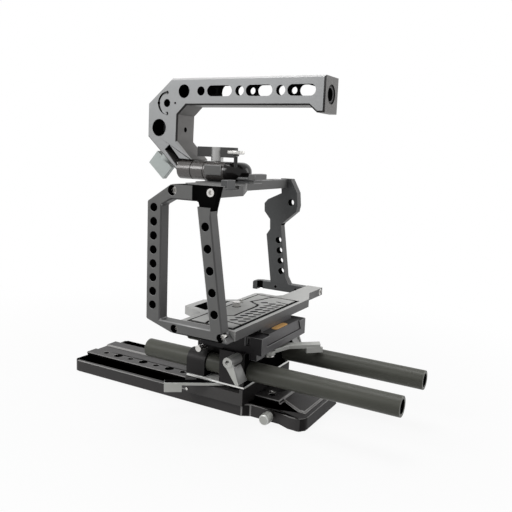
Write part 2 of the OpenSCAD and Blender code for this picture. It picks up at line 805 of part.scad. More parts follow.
module far_panel() {
    color([0.2, 0.2, 0.2])
        difference() {
            prism_y(far_outline(), far_y, far_panel_thickness);
            rod_along_y(27.4, far_y - cut, roof_top - 21.6, panel_tap, far_panel_thickness + 2 * cut, small_fn);
            for (i = [0:3])
                rod_along_y(20.4 - 1.5 * i, far_y - cut, deck_z + 19.1 + 10 * i, panel_tap, far_panel_thickness + 2 * cut, small_fn);
            rod_along_y(15, far_y - cut, deck_z + 2.7, 1.3, far_panel_thickness + 2 * cut, small_fn);
            rod_along_y(37, far_y - cut, deck_z + 2.7, 1.3, far_panel_thickness + 2 * cut, small_fn);
            rod_along_z(-2.4, far_y - 0.8, deck_z - 5, 3.4, 16);
            rod_along_x(arm_rear - 14, far_y + far_panel_thickness / 2, deck_z + 3.4, screw_r, 14 + cut, small_fn);
            rod_along_y(19.6, far_y - cut, roof_z + roof_thickness / 2, screw_r + 0.2, far_panel_thickness + 2 * cut, small_fn);
            rod_along_y(19.6, far_y + far_panel_thickness - 3.2, roof_z + roof_thickness / 2, 3.2, 3.2 + cut, small_fn);
        }
}

// Screw from the arm of the bottom plate into the rail of the far panel
module rail_arm_screw() {
    color([0.82, 0.82, 0.82])
        translate([arm_front - 3.2, far_y + far_panel_thickness / 2, deck_z + 3.4])
            rotate([0, 90, 0])
                cap_screw(3.2, 3, screw_r - fit, arm_front - 3.2 - arm_rear + 12);
}

// Screw through the far panel into the top plate
module far_roof_screw() {
    color([0.82, 0.82, 0.82])
        translate([19.6, far_y + far_panel_thickness - 3.2, roof_z + roof_thickness / 2])
            rotate([-90, 0, 0])
                cap_screw(3, 2.8, screw_r - fit, far_panel_thickness + 6);
}

// Top plate of the cage
function roof_plan() = [
    [15, near_y], [54, near_y], [54, -31], [24, 27], [22.5, far_y], [10, far_y], [6, 30], [6, -24], [15, -36]
];

module top_plate() {
    color([0.36, 0.36, 0.36])
        difference() {
            prism_z(roof_plan(), roof_z, roof_thickness);
            prism_y([[-10, roof_top - 21], [19, roof_top - 0.5], [21, roof_top], [21, roof_top + 5], [-10, roof_top + 5]],
                near_y - cut, 14 + cut);
            translate([notch_x, -57, notch_floor])
                cube([10, 19.4, 10]);
            for (x = roof_screw_x())
                rod_along_y(x, near_y - cut, roof_top - 4.4, screw_r, 5.4 + cut, small_fn);
            rod_along_y(19.6, far_y - 10, roof_z + roof_thickness / 2, screw_r, 10 + cut, small_fn);
            for (x = rail_screw_x())
                rod_along_z(x, 0, roof_z, screw_r, roof_thickness + 2 * cut, small_fn);
            for (y = [52, 68, 84])
                rod_along_z(16, y, roof_z, panel_tap, roof_thickness + 2 * cut, small_fn);
        }
}

// T-shaped key in the notch of the top plate
module rail_key() {
    color([0.3, 0.3, 0.3])
        union() {
            translate([notch_x, -56, notch_floor])
                cube([5.5, 17, 0.9]);
            translate([notch_x, -53, notch_floor])
                cube([5.5, 11, 7]);
        }
}

// Accessory rail on the top plate
function rail_screw_x() = [25, 36];
function rail_section() = [
    [-rail_neck, roof_top], [rail_neck, roof_top], [rail_neck, roof_top + rail_neck_h],
    [rail_half, roof_top + rail_neck_h + 1], [rail_half, roof_top + rail_h - 0.6],
    [rail_half - 0.6, roof_top + rail_h], [-rail_half + 0.6, roof_top + rail_h],
    [-rail_half, roof_top + rail_h - 0.6], [-rail_half, roof_top + rail_neck_h + 1],
    [-rail_neck, roof_top + rail_neck_h]
];

module top_rail() {
    color([0.3, 0.3, 0.3])
        difference() {
            prism_x(rail_section(), rail_start, rail_stop_x - rail_start);
            for (x = rail_screw_x()) {
                rod_along_z(x, 0, roof_top - cut, screw_r + 0.2, rail_h + 2 * cut, small_fn);
                rod_along_z(x, 0, roof_top + rail_h - 3.2, screw_head_r + 0.2, 4, small_fn);
            }
        }
}

// Screws that hold the rail
module rail_screws() {
    color([0.75, 0.75, 0.75])
        for (x = rail_screw_x())
            translate([x, 0, roof_top + rail_h - 3.2])
                cap_screw(screw_head_r, screw_head_h, screw_r - fit, rail_h - 3.2 + roof_thickness - 1.5);
}

// End stop of the rail
module rail_stop() {
    color([0.3, 0.3, 0.3])
        union() {
            translate([rail_stop_x, -rail_half, roof_top + 2.8])
                cube([6, 2 * rail_half, 4.8]);
            translate([rail_stop_x, -rail_neck, roof_top])
                cube([3.4, 2 * rail_neck, 3.6]);
        }
}

// Clamp barrel of the handle, riding on the rail
function barrel_channel() = [
    [-rail_neck - running, roof_top - 2], [rail_neck + running, roof_top - 2],
    [rail_neck + running, roof_top + rail_neck_h - running],
    [rail_half + running, roof_top + rail_neck_h + 1 - running],
    [rail_half + running, roof_top + rail_h + running],
    [-rail_half - running, roof_top + rail_h + running],
    [-rail_half - running, roof_top + rail_neck_h + 1 - running],
    [-rail_neck - running, roof_top + rail_neck_h - running]
];

module barrel_blank(x_start, depth) {
    rod_along_x(x_start, -foot_flat, barrel_bottom + barrel_r, barrel_r, depth);
    rod_along_x(x_start, foot_flat, barrel_bottom + barrel_r, barrel_r, depth);
    translate([x_start, -foot_flat, barrel_bottom])
        cube([depth, 2 * foot_flat, 2 * barrel_r]);
}

module ring_groove(x) {
    difference() {
        translate([x - 0.5, -barrel_half - cut, barrel_bottom - cut])
            cube([1, 2 * barrel_half + 2 * cut, 2 * barrel_r + 2 * cut]);
        rod_along_x(x - cut, -foot_flat, barrel_bottom + barrel_r, barrel_r - 0.5, 2 * cut);
        rod_along_x(x - cut, foot_flat, barrel_bottom + barrel_r, barrel_r - 0.5, 2 * cut);
        translate([x - cut, -foot_flat, barrel_bottom - 2 * cut])
            cube([2 * cut, 2 * foot_flat, 2 * barrel_r + 4 * cut]);
    }
}

module handle_foot() {
    color([0.22, 0.21, 0.2])
        difference() {
            barrel_blank(barrel_rear, nose_x - barrel_rear);
            prism_x(barrel_channel(), barrel_rear - cut, barrel_length + 2 * cut);
            ring_groove(-6);
            ring_groove(6);
            rod_along_z(knob_x, 0, roof_top, 3 + running, 30, small_fn);
            translate([8, -barrel_half - cut, barrel_bottom + 4.4])
                cube([16.1, 2 + cut, 8.4]);
            for (side = [-1, 1])
                rod_along_x(nose_x - 8, side * foot_flat, barrel_bottom + barrel_r, dowel_r + fit, 8 + cut, small_fn);
            for (side = [-1, 1])
                rod_along_x(barrel_rear - cut, side * 5, barrel_top - 4.6, screw_r, 10 + cut, small_fn);
        }
}

// Raised pad on the near side of the barrel
module foot_pad() {
    color([0.3, 0.3, 0.3])
        translate([8.3, -barrel_half - 0.6, barrel_bottom + 4.7])
            cube([15.5, 2.6, 7.8]);
}

// Glossy round nose of the barrel
module foot_cap() {
    color([0.05, 0.05, 0.05])
        difference() {
            intersection() {
                translate([nose_x, 0, barrel_bottom + barrel_r])
                    union() {
                        rotate_extrude($fn = 96)
                            translate([foot_flat, 0])
                                circle(r = barrel_r, $fn = round_fn);
                        translate([0, 0, -barrel_r])
                            cylinder(r = foot_flat, h = 2 * barrel_r, $fn = 96);
                    }
                translate([nose_x, -barrel_half - cut, barrel_bottom - cut])
                    cube([barrel_half + 2 * cut, 2 * barrel_half + 2 * cut, 2 * barrel_r + 2 * cut]);
            }
            prism_x(barrel_channel(), nose_x - cut, barrel_half + 2 * cut);
            for (side = [-1, 1])
                rod_along_x(nose_x - cut, side * foot_flat, barrel_bottom + barrel_r, dowel_r + fit, 5.5 + cut, small_fn);
            rod_along_z(thumb_x, thumb_y, barrel_top - 6, 1.5 + running, 6 + cut, small_fn);
        }
}

// Dowels that hold the nose on the barrel
module cap_dowels() {
    color([0.6, 0.6, 0.6])
        for (side = [-1, 1])
            rod_along_x(nose_x - 7.9, side * foot_flat, barrel_bottom + barrel_r, dowel_r, 13.2, small_fn);
}

// Wing knob that tightens the barrel on the rail
module wing_knob() {
    color([0.3, 0.3, 0.3])
        union() {
            rod_along_z(knob_x, 0, barrel_top + seat, 5, 11.1);
            rod_along_z(knob_x, 0, roof_top + rail_h + 1.4, 3, barrel_top + seat - roof_top - rail_h - 1.4, small_fn);
            translate([knob_x - knob_span / 2, -2.5, barrel_top + 3.4])
                cube([knob_span, 5, 8]);
        }
}

// Small thumb screw beside the wing knob
module thumb_screw() {
    color([0.75, 0.75, 0.75])
        union() {
            rod_along_z(thumb_x, thumb_y, barrel_top + 6.4, 6.5, 2.6);
            rod_along_z(thumb_x, thumb_y, barrel_top + 4.8, 2.6, 1.6, small_fn);
            rod_along_z(thumb_x, thumb_y, barrel_top - 5, 1.5, 9.8, small_fn);
        }
}

// Handle: rear frame and grip bar in one piece
function handle_outline() = [
    [handle_rear, handle_top], [-52, handle_top - 19.8], [-52.2, roof_top + 33.9], [-22.1, roof_top + 7.2],
    [barrel_rear, roof_top + 7.2], [barrel_rear, barrel_top], [-7.4, barrel_top],
    [-7.4, barrel_top + 0.7], [-22.2, roof_top + 30.6], [-21.7, grip_under - 7.5], [-13.5, grip_under],
    [handle_end - 12, grip_under], [handle_end - 6, grip_under - 5], [handle_end, grip_under - 5],
    [handle_end, handle_top]
];

module long_slot(x_start, x_end, z, half, y_start, depth) {
    rod_along_y(x_start + half, y_start, z, half, depth, small_fn);
    rod_along_y(x_end - half, y_start, z, half, depth, small_fn);
    translate([x_start + half, y_start, z - half])
        cube([x_end - x_start - 2 * half, depth, 2 * half]);
}

module grip_slot(x_start, x_end, y_start, depth) {
    long_slot(x_start, x_end, grip_axis, slot_half, y_start, depth);
}

module handle() {
    face = -half_handle - cut;
    through = handle_width + 2 * cut;
    color([0.6, 0.6, 0.6])
        difference() {
            prism_y(handle_outline(), -half_handle, handle_width);
            rod_along_y(-15.7, face, grip_axis, 5.3, 11 + cut);
            rod_along_y(0.6, face, grip_axis, 3.5, 11 + cut, small_fn);
            for (i = [0:2]) {
                grip_slot(6.4 + slot_pitch * i, 29 + slot_pitch * i, face, 3 + cut);
                grip_slot(14.5 + slot_pitch * i, 29 + slot_pitch * i, face, through);
                rod_along_y(10.4 + slot_pitch * i, face, grip_axis, 2.6, through, small_fn);
            }
            for (i = [1:2])
                rod_along_y(0.9 + slot_pitch * i, face, grip_axis, 3.75, through, small_fn);
            long_slot(5.4, handle_end - 14.2, grip_axis + 0.8, 7, grip_wall - half_handle, through);
            rod_along_y(-32.4, face, handle_top - 19.4, 3.2, 11 + cut, small_fn);
            rod_along_y(-24.2, face, handle_top - 19.4, 0.9, 5 + cut, small_fn);
            for (a = [90, 180, 270])
                rod_along_y(-32.4 + 8.3 * cos(a), face, handle_top - 19.4 + 8.3 * sin(a), 1.4, 5 + cut, small_fn);
            difference() {
                rod_along_y(-32.4, face, handle_top - 19.4, 9.2, 2 + cut);
                rod_along_y(-32.4, face - cut, handle_top - 19.4, 7.4, 5 + cut);
                translate([-32.4, face - cut, handle_top - 30])
                    cube([20, 10, 22]);
            }
            rod_along_y(-40.2, face, handle_top - 39.1, 7, 15 + cut);
            prism_y([[-34, roof_top + 23.6], [-29.4, roof_top + 27.8], [-15.8, roof_top + 13.6], [-20.4, roof_top + 9.4]],
                face, handle_width - 2);
            rod_along_x(handle_end - 5.4, 0, handle_top - 12.6, 7, 5.4 + cut);
            rod_along_x(handle_end - 12, 0, handle_top - 12.6, 4, 12 + cut);
            rod_along_x(-32, 0, handle_top - 40, 2, 12, small_fn);
            translate([wing_x, 0, wing_z])
                rotate([0, wing_tilt, 0])
                    translate([0, 0, -cut])
                        cylinder(r = 3 + running, h = 4.4 + cut, $fn = small_fn);
            for (side = [-1, 1]) {
                rod_along_x(-30, side * 5, barrel_top - 4.6, screw_r + 0.2, 20, small_fn);
                rod_along_x(-36, side * 5, barrel_top - 4.6, screw_head_r + 0.2, 14, small_fn);
            }
        }
}

// Screws that hold the handle on the rear end of the barrel
module handle_screws() {
    color([0.6, 0.6, 0.6])
        for (side = [-1, 1])
            translate([-22, side * 5, barrel_top - 4.6])
                rotate([0, -90, 0])
                    cap_screw(screw_head_r, screw_head_h, screw_r - fit, barrel_rear + 22 + 9);
}

// Threaded insert in the front end of the grip
module grip_insert() {
    color([0.16, 0.16, 0.16])
        difference() {
            rod_along_x(handle_end - 5.4, 0, handle_top - 12.6, 7 - fit, 4.8);
            rod_along_x(handle_end - 5.4 - cut, 0, handle_top - 12.6, insert_r, 4.8 + 2 * cut);
        }
}

// Wing screw on the rear arm of the handle
module handle_wing() {
    color([0.78, 0.81, 0.8])
        translate([wing_x, 0, wing_z])
            rotate([0, wing_tilt, 0])
                union() {
                    translate([0, 0, -cut])
                        cylinder(r = 3, h = 4.2 + cut, $fn = small_fn);
                    translate([0, 0, -7])
                        cylinder(r = 5, h = 7 - seat, $fn = round_fn);
                    translate([-10, -2.5, -20])
                        cube([20, 5, 13.5]);
                }
}

base_plate();
base_screws();
stop_sleeve();
stop_knob();
dovetail_clamp();
lever_pivot();
clamp_pin();
spacer_plate();
dovetail_lever();
rod_block();
block_screws();
near_rod_lever();
far_rod_lever();
near_rod();
far_rod();
receiver();
receiver_screws();
qr_lever();
qr_pivot();
lock_pin();
qr_plate();
front_inlay();
qr_screws();
bottom_plate();
camera_pad();
camera_screw();
locating_pin();
near_panel();
deck_screws();
roof_screws();
far_panel();
rail_arm_screw();
far_roof_screw();
top_plate();
rail_key();
top_rail();
rail_screws();
rail_stop();
handle_foot();
foot_pad();
foot_cap();
cap_dowels();
wing_knob();
thumb_screw();
handle();
handle_screws();
grip_insert();
handle_wing();
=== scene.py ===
import json
import math
import bpy
import bmesh
import numpy as np
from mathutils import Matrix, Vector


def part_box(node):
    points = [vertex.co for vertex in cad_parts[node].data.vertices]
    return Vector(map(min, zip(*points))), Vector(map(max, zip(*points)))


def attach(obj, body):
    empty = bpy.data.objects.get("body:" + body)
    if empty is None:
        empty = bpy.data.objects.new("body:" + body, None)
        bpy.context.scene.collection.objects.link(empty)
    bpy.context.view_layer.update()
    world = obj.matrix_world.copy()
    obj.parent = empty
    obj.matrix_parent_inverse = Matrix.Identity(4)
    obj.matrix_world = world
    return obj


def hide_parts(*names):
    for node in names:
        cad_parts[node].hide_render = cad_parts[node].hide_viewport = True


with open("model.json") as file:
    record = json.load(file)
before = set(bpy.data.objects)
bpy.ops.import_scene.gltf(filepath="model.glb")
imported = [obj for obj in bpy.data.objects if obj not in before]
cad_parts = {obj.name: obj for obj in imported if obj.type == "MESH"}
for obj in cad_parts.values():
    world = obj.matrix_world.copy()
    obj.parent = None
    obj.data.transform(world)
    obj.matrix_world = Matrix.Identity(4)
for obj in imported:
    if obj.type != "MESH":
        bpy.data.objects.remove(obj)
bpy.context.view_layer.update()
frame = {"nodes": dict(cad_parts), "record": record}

# Camera: a plain lens at the height of the top plate, a little in front of the cage and on its near side.
# It stands where the measured edges of the rods, the cage and the base all line up.
eye = bpy.data.cameras.new("eye")
eye.lens = 43.41
eye.sensor_width = 36.0
eye.clip_start = 0.01
camera = bpy.data.objects.new("eye", eye)
camera.location = (0.2844, -0.4259, 0.2015)
camera.rotation_euler = [math.radians(a) for a in (80.442, -2.375, 29.263)]
bpy.context.scene.collection.objects.link(camera)
bpy.context.scene.camera = camera
bpy.context.scene.view_settings.view_transform = "Standard"


# Light: a white room, a soft lamp close by above the near front, a wider one overhead and a weak one behind.
# The room itself shows white to the eye and in every reflection.
class Wire:
    """A shader socket in a sum: each operator adds the Math node that works it out."""

    def __init__(self, bench, socket):
        self.bench = bench
        self.socket = socket

    def sum(self, operation, first, second):
        return self.bench.put("ShaderNodeMath", {"operation": operation}, {0: first, 1: second})

    def __add__(self, other):
        return self.sum("ADD", self, other)

    def __radd__(self, other):
        return self.sum("ADD", other, self)

    def __sub__(self, other):
        return self.sum("SUBTRACT", self, other)

    def __rsub__(self, other):
        return self.sum("SUBTRACT", other, self)

    def __mul__(self, other):
        return self.sum("MULTIPLY", self, other)

    def __rmul__(self, other):
        return self.sum("MULTIPLY", other, self)

    def larger(self, other):
        return self.sum("MAXIMUM", self, other)


class Bench:
    """Where one finish is put together: put() adds any node, with its settings first and then its inputs."""

    def __init__(self, tree):
        self.tree = tree
        self.tree.nodes.clear()

    def put(self, kind, settings=None, inputs=None, out=0):
        node = self.tree.nodes.new(kind)
        for name, value in (settings or {}).items():
            setattr(node, name, value)
        for key, value in (inputs or {}).items():
            if isinstance(value, Wire):
                self.tree.links.new(value.socket, node.inputs[key])
            else:
                node.inputs[key].default_value = value
        return Wire(self, node.outputs[out]) if node.outputs else None

    def blend(self, factor, first, second):
        """Mix node for colours: first where factor is 0, second where it is 1."""
        first, second = [(*c, 1.0) if isinstance(c, tuple) else c for c in (first, second)]
        return self.put("ShaderNodeMix", {"data_type": "RGBA"}, {0: factor, 6: first, 7: second}, out=2)


def seen_directly(bench):
    """1 for a ray from the eye, in a reflection or through clear material, and 0 for light on the object."""
    path = "ShaderNodeLightPath"
    seen = bench.put(path, out="Is Camera Ray").larger(bench.put(path, out="Is Glossy Ray"))
    return seen.larger(bench.put(path, out="Is Transmission Ray"))


white = (1, 1, 1, 1)
room_light = 0.30
room = bpy.data.worlds.new("white_room")
room.use_nodes = True
bpy.context.scene.world = room
bench = Bench(room.node_tree)
strength = seen_directly(bench) * (1 - room_light) + room_light
bench.put("ShaderNodeOutputWorld", {}, {
    "Surface": bench.put("ShaderNodeBackground", {}, {"Color": white, "Strength": strength})})


def soft_lamp(name, place, aim, size, power):
    """A square area lamp at place that looks at aim."""
    light = bpy.data.lights.new(name, "AREA")
    light.shape = "RECTANGLE"
    light.size, light.size_y = size
    light.energy = power
    lamp = bpy.data.objects.new(name, light)
    away = np.array(place) - np.array(aim)
    turn = math.atan2(away[0], -away[1])
    tip = math.atan2(math.hypot(away[0], away[1]), away[2])
    lamp.location = place
    lamp.rotation_euler = (tip, 0, turn)
    bpy.context.scene.collection.objects.link(lamp)


middle = (0.03, 0.0, 0.12)
soft_lamp("key_lamp", (-0.30, -0.58, 0.52), middle, (0.30, 0.30), 3.1)
soft_lamp("top_lamp", (-0.12, 0.10, 1.10), middle, (0.6, 0.5), 7.5)
soft_lamp("back_lamp", (0.75, 0.70, 0.45), middle, (0.3, 0.6), 2.0)

# Floor: a wide white studio sweep. Close to the rig it is matt paper with a faint shadow.
# Away from it the paper turns into the same white as the room, so no horizon shows.
reach = 4.0
floor_mesh = bpy.data.meshes.new("floor")
corners = [(-reach, -reach, 0), (reach, -reach, 0), (reach, reach, 0), (-reach, reach, 0)]
floor_mesh.from_pydata(corners, [], [(0, 1, 2, 3)])
floor = bpy.data.objects.new("floor", floor_mesh)
bpy.context.scene.collection.objects.link(floor)
paper = bpy.data.materials.new("white_paper")
paper.use_nodes = True
bench = Bench(paper.node_tree)
seen = seen_directly(bench)
spot = bench.put("ShaderNodeTexCoord", out="Object")
distance = bench.put("ShaderNodeVectorMath", {"operation": "LENGTH"}, {0: spot}, out="Value")
shadow_starts, shadow_ends, least_glow = 0.12, 0.45, 0.90
glow_share = bench.put("ShaderNodeMapRange", {"interpolation_type": "SMOOTHSTEP"}, {
    0: distance, 1: shadow_starts, 2: shadow_ends, 3: least_glow, 4: 1.0})
matt = bench.put("ShaderNodeBsdfDiffuse", {}, {"Color": (0.62, 0.62, 0.62, 1)})
glow = bench.put("ShaderNodeEmission", {}, {"Color": white, "Strength": 1.0})
bench.put("ShaderNodeOutputMaterial", {}, {
    "Surface": bench.put("ShaderNodeMixShader", {}, {0: seen * glow_share, 1: matt, 2: glow})})
floor_mesh.materials.append(paper)


# Base plate: a long bar of black anodised aluminium with a milled dovetail, lying on the table.
# Its edges are broken with a fine chamfer, painted paler than the faces as a highlight.
# Its grooves and holes are painted black as shade, and its faces that look forward or down darker, as shade.
def anodised(name, colour, rough, metal=0.15, mottle=0.10, blast=0.5, gleam=0.3):
    """Anodised aluminium, or bare metal: a colour that drifts a little over a bead-blasted surface.

    mottle is the share by which the colour drifts, blast the depth of the grit and gleam the gloss.
    """
    finish = bpy.data.materials.new(name)
    finish.use_nodes = True
    bench = Bench(finish.node_tree)
    noise = "ShaderNodeTexNoise"
    place = bench.put("ShaderNodeTexCoord", out="Object")
    drift = bench.put(noise, {}, {"Vector": place, "Scale": 45.0, "Detail": 4.0, "Roughness": 0.6})
    grit = bench.put(noise, {}, {"Vector": place, "Scale": 1900.0, "Detail": 2.0})
    rub = bench.put(noise, {}, {"Vector": place, "Scale": 160.0, "Detail": 5.0, "Roughness": 0.7})
    dark = tuple(part * (1 - mottle) for part in colour)
    pale = tuple(part * (1 + mottle) for part in colour)
    shade = bench.blend(drift * 0.7 + rub * 0.3, dark, pale)
    bump = bench.put("ShaderNodeBump", {}, {"Strength": blast, "Distance": 0.00006, "Height": grit})
    shell = bench.put("ShaderNodeBsdfPrincipled", {}, {
        "Base Color": shade, "Metallic": metal, "Roughness": (rub - 0.5) * 0.16 + (rough - 0.02) + grit * 0.04,
        "Specular IOR Level": gleam, "Normal": bump})
    bench.put("ShaderNodeOutputMaterial", {}, {"Surface": shell})
    return finish


def body_of_node(node):
    """The CAD body that holds a node, by the record."""
    bodies = frame["record"]["behaviour"]["bodies"]
    return next(body for body, nodes in bodies.items() if node in nodes)


def dress(node, finish, edge=None, width=0.0006, hole_width=0.00025, steps=1,
          hole=None, side=None, dim=None, hollows=(), clamp=True, sunk_width=None, sharp_past=None):
    """A copy of a CAD node's mesh, merged and cleaned of flat edges, with its sharp edges broken.

    A long straight edge gets the full width and a short one, such as a piece of a hole's rim,
    the hole width. Finishes: edge on the broken edges, a painted highlight where it is paler;
    hole on the walls of round holes, painted shade where it is black; side on faces that look
    forward (x > 0.5) or down (z < -0.5), and dim on the broken edges there, copies painted
    darker as shade where they are darker and paler as light where they are paler.
    A face whose middle lies in one of the hollows, boxes in millimetres, also gets hole, and its
    edges are broken by sunk_width at most. Edges that reach past y = sharp_past stay sharp.
    """
    long_edge, strip_width = 0.0035, 0.0026
    flat, gentle, bend, crease = (math.radians(angle) for angle in (0.5, 2, 24, 25))
    source = frame["nodes"][node]
    mesh = source.data.copy()
    work = bmesh.new()
    work.from_mesh(mesh)
    work.transform(source.matrix_world)
    bmesh.ops.remove_doubles(work, verts=work.verts, dist=1e-6)
    bmesh.ops.dissolve_limit(work, angle_limit=flat, verts=work.verts, edges=work.edges)
    rim = work.edges.layers.float.new("bevel_weight_edge")
    for line in work.edges:
        if line.is_manifold and line.calc_face_angle(0.0) > crease:
            line[rim] = 1.0 if line.calc_length() > long_edge else hole_width / width
            if sharp_past is not None and max(end.co.y for end in line.verts) > sharp_past:
                line[rim] = 0.0
    for face in work.faces:
        bends = [line.is_convex for line in face.edges
                 if line.is_manifold and gentle < line.calc_face_angle(0.0) < bend]
        middle_mm = face.calc_center_median() * 1000
        sunk = any(all(low <= at <= high for at, (low, high) in zip(middle_mm, box)) for box in hollows)
        narrow = face.calc_area() < strip_width * max(line.calc_length() for line in face.edges)
        face.material_index = 2 if sunk or (narrow and bends and not any(bends)) else 0
        if sunk and sunk_width is not None:
            for line in face.edges:
                line[rim] = min(line[rim], sunk_width / width)
    edge = edge or finish
    mesh.materials.clear()
    for layer in (finish, edge, hole or finish, side or finish, dim or edge):
        mesh.materials.append(layer)
    work.to_mesh(mesh)
    work.free()
    mesh.shade_smooth()
    mesh.set_sharp_from_angle(angle=math.radians(30))
    piece = bpy.data.objects.new("dressed_" + node, mesh)
    bpy.context.scene.collection.objects.link(piece)
    edge_break = piece.modifiers.new("edge_break", "BEVEL")
    edge_break.limit_method = "WEIGHT"
    edge_break.width = width
    edge_break.segments = steps
    edge_break.material = 1
    edge_break.use_clamp_overlap = clamp
    piece.modifiers.new("even_normals", "WEIGHTED_NORMAL").keep_sharp = True
    if side or dim:
        baked = bpy.data.meshes.new_from_object(piece.evaluated_get(bpy.context.evaluated_depsgraph_get()))
        piece.modifiers.clear()
        piece.data = baked
        facing = np.empty(len(baked.polygons) * 3, np.float32)
        layer = np.empty(len(baked.polygons), np.int32)
        baked.polygons.foreach_get("normal", facing)
        baked.polygons.foreach_get("material_index", layer)
        facing = facing.reshape(-1, 3)
        # Faces that look forward or down, and the broken edges there, take copies of the finish: painted shade
        # where darker, painted light (on the receiver) where paler.
        turned = (facing[:, 0] > 0.5) | (facing[:, 2] < -0.5)
        layer = np.where((layer == 0) & turned, 3, layer)
        layer = np.where((layer == 1) & turned & (facing[:, 2] < 0.4), 4, layer)
        baked.polygons.foreach_set("material_index", layer.astype(np.int32))
    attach(piece, body_of_node(node))
    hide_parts(node)


black_plate = anodised("black_plate", (0.030, 0.028, 0.028), 0.42)
black_edge_highlight = anodised("black_edge_highlight", (0.26, 0.255, 0.25), 0.32)
# This near black without gloss is painted shade: it goes into holes, grooves, slots, pockets and windows, and
# onto the rod block's faces that look forward or down.
painted_shade_black = anodised("painted_shade_black", (0.004, 0.004, 0.004), 0.50, metal=0.0, gleam=0.0)
# This darker black is painted shade on faces that look forward or down; it is also the grip insert's own black.
black_shade_and_ring = anodised("black_shade_and_ring", (0.011, 0.010, 0.010), 0.45, metal=0.05, gleam=0.1)
base_grooves = [((-150, 150), (low, low + 10.6), (4.4, 12.4)) for low in (-24.9, 14.3)]
dress("base_plate", black_plate, black_edge_highlight, width=0.0007,
      hole=painted_shade_black, side=black_shade_and_ring, hollows=base_grooves, clamp=False)

# Small fixings of the base: two turned steel screws, and the sprung stop at the near side.
# The stop is a steel pin with a pale knurled knob, in a black sleeve that is pressed into the base.
bright_steel = anodised("bright_steel", (0.62, 0.61, 0.59), 0.26, metal=0.9, mottle=0.06, blast=0.15, gleam=0.5)
dark_sleeve = anodised("dark_sleeve", (0.03, 0.03, 0.03), 0.35)
dress("base_screws", bright_steel, width=0.0003, hole_width=0.0002)
dress("stop_sleeve", dark_sleeve, width=0.0003)
pale_alloy = anodised("pale_alloy", (0.44, 0.445, 0.42), 0.38, metal=0.25, mottle=0.05, gleam=0.4)
# The paler alloy copy on broken edges is a painted highlight; on the silver spacer plate it is darker than the
# face. The darker copy below is painted shade on the rod levers' faces that look forward or down.
alloy_edge = anodised("alloy_edge", (0.62, 0.63, 0.61), 0.30, metal=0.4, mottle=0.04, gleam=0.5)
alloy_side_shade = anodised("alloy_side_shade", (0.25, 0.25, 0.245), 0.40, metal=0.25, mottle=0.05, gleam=0.4)
dress("stop_knob", pale_alloy, alloy_edge, width=0.0008, hole_width=0.0008, steps=2)


def knurled_band(name, node, finish, start, turned, outer, length, ridges):
    """Knurling rolled round a knob: a closed ring, a profile of six points carried round the knob's axis.

    The profile goes from the inner wall over one end, the grip and the other end. The grip's radius
    rises and falls as a cosine with the given number of ridges round the turn. turned says which of
    the ring's own axes becomes x, y and z. Lengths in millimetres.
    """
    sunk, ridge, steps_per_ridge = -0.4, 0.22, 10
    turn = np.linspace(0, 2 * np.pi, steps_per_ridge * ridges, endpoint=False)[:, None]
    reach = np.array([sunk, 0.0, ridge, ridge, 0.0, sunk])
    along = np.array([0.0, 0.0, 0.12, 0.88, 1.0, 1.0]) * length + 0 * turn
    radius = outer + np.where(reach > 0, reach * (0.5 + 0.5 * np.cos(turn * ridges)), reach)
    points = np.stack([radius * np.cos(turn), radius * np.sin(turn), along], -1)[..., turned] + start
    number = np.arange(points[..., 0].size).reshape(points.shape[:2])
    after, beside = np.roll(number, -1, 0), np.roll(number, -1, 1)
    faces = np.stack([number, after, np.roll(after, -1, 1), beside], -1).reshape(-1, 4)
    mesh = bpy.data.meshes.new(name)
    mesh.from_pydata((points.reshape(-1, 3) * 0.001).tolist(), [], faces.tolist())
    work = bmesh.new()
    work.from_mesh(mesh)
    bmesh.ops.recalc_face_normals(work, faces=work.faces)
    work.to_mesh(mesh)
    work.free()
    mesh.shade_smooth()
    mesh.set_sharp_from_angle(angle=math.radians(35))
    mesh.materials.append(finish)
    band = bpy.data.objects.new(name, mesh)
    bpy.context.scene.collection.objects.link(band)
    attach(band, body_of_node(node))


knob_low, knob_high = (np.array(corner) * 1000 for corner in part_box("stop_knob"))
knurl_start = ((knob_low[0] + knob_high[0]) / 2, knob_low[1] + 1.4, (knob_low[2] + knob_high[2]) / 2)
knurled_band("stop_knurl", "stop_knob", pale_alloy, knurl_start, [0, 2, 1], outer=4.0, length=6.0, ridges=26)

# Dovetail clamp: a dark grey anodised block, milled to ride on the base plate's dovetail.
# The lever's pivot pin and a small stop pin, both of turned steel, are pressed into it.
clamp_grey = anodised("clamp_grey", (0.050, 0.048, 0.047), 0.42)
clamp_edge_highlight = anodised("clamp_edge_highlight", (0.16, 0.16, 0.16), 0.36)
# The clamp's broken edges are painted paler as a highlight; its holes, its faces that look forward or down and
# the edges there are painted darker as shade.
dress("dovetail_clamp", clamp_grey, clamp_edge_highlight, width=0.0005,
      hole=painted_shade_black, side=black_shade_and_ring, dim=black_plate)
dress("lever_pivot", bright_steel, width=0.0003)
dress("clamp_pin", bright_steel, width=0.0003, hole_width=0.0003)

# Silver plate over the clamp: bare satin aluminium, held between the clamp and the rod block.
# The long clamp lever, cast pale alloy, swings under it; the slot along its root is painted black as shade.
silver_plate = anodised("silver_plate", (0.80, 0.80, 0.78), 0.30, metal=0.5, mottle=0.05, gleam=0.5)
dress("spacer_plate", silver_plate, alloy_edge, width=0.0004)
lever_slot = ((22.6, 62), (-39.5, -20), (20, 23.3))
dress("dovetail_lever", pale_alloy, alloy_edge, width=0.0006, hole_width=0.0003, steps=2,
      hole=painted_shade_black, hollows=[lever_slot])

# Rod block: milled and black anodised, with a collar and a split jaw for each rod.
# A pale lever screw closes each jaw, and two long screws hold the block down.
block_black = anodised("block_black", (0.020, 0.019, 0.019), 0.42, gleam=0.15)
block_edge_highlight = anodised("block_edge_highlight", (0.07, 0.07, 0.07), 0.36)
